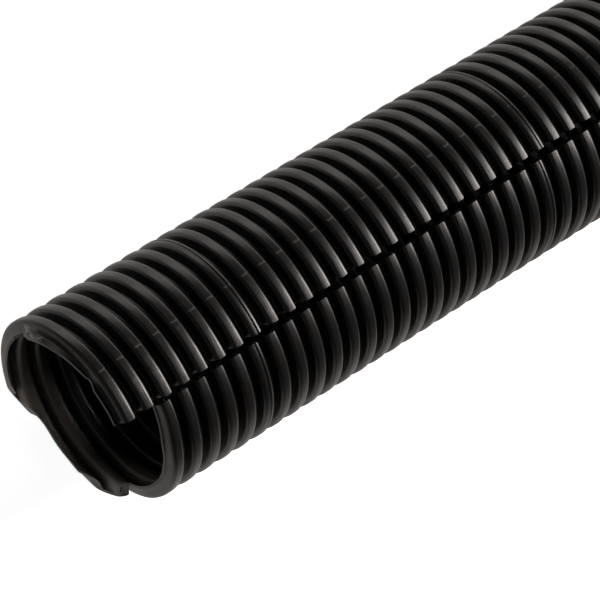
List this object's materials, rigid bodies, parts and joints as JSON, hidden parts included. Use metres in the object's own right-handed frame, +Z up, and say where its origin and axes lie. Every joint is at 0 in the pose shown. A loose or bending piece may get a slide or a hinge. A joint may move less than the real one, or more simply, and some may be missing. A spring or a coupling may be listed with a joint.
{
  "type": "slit corrugated cable conduit",
  "caption": "Straight cut length of black corrugated plastic cable conduit with ring-shaped ribs and one lengthwise slit, lying on its side.",
  "frame": {"origin": "under the middle of the tube, on the surface it lies on", "axes": "+X along the tube's axis from its hand-cut end to its plain end, +Z straight up, with the slit on top but turned 12 degrees about the axis towards -Y, +Y towards the lip that reaches further at the cut end"},
  "size_m": [1, 0.0424, 0.0425],
  "materials": {
    "conduit": "satin, slightly glossy where handled"
  },
  "bodies": {
    "root": {"conduit": "conduit"}
  },
  "joints": []
}
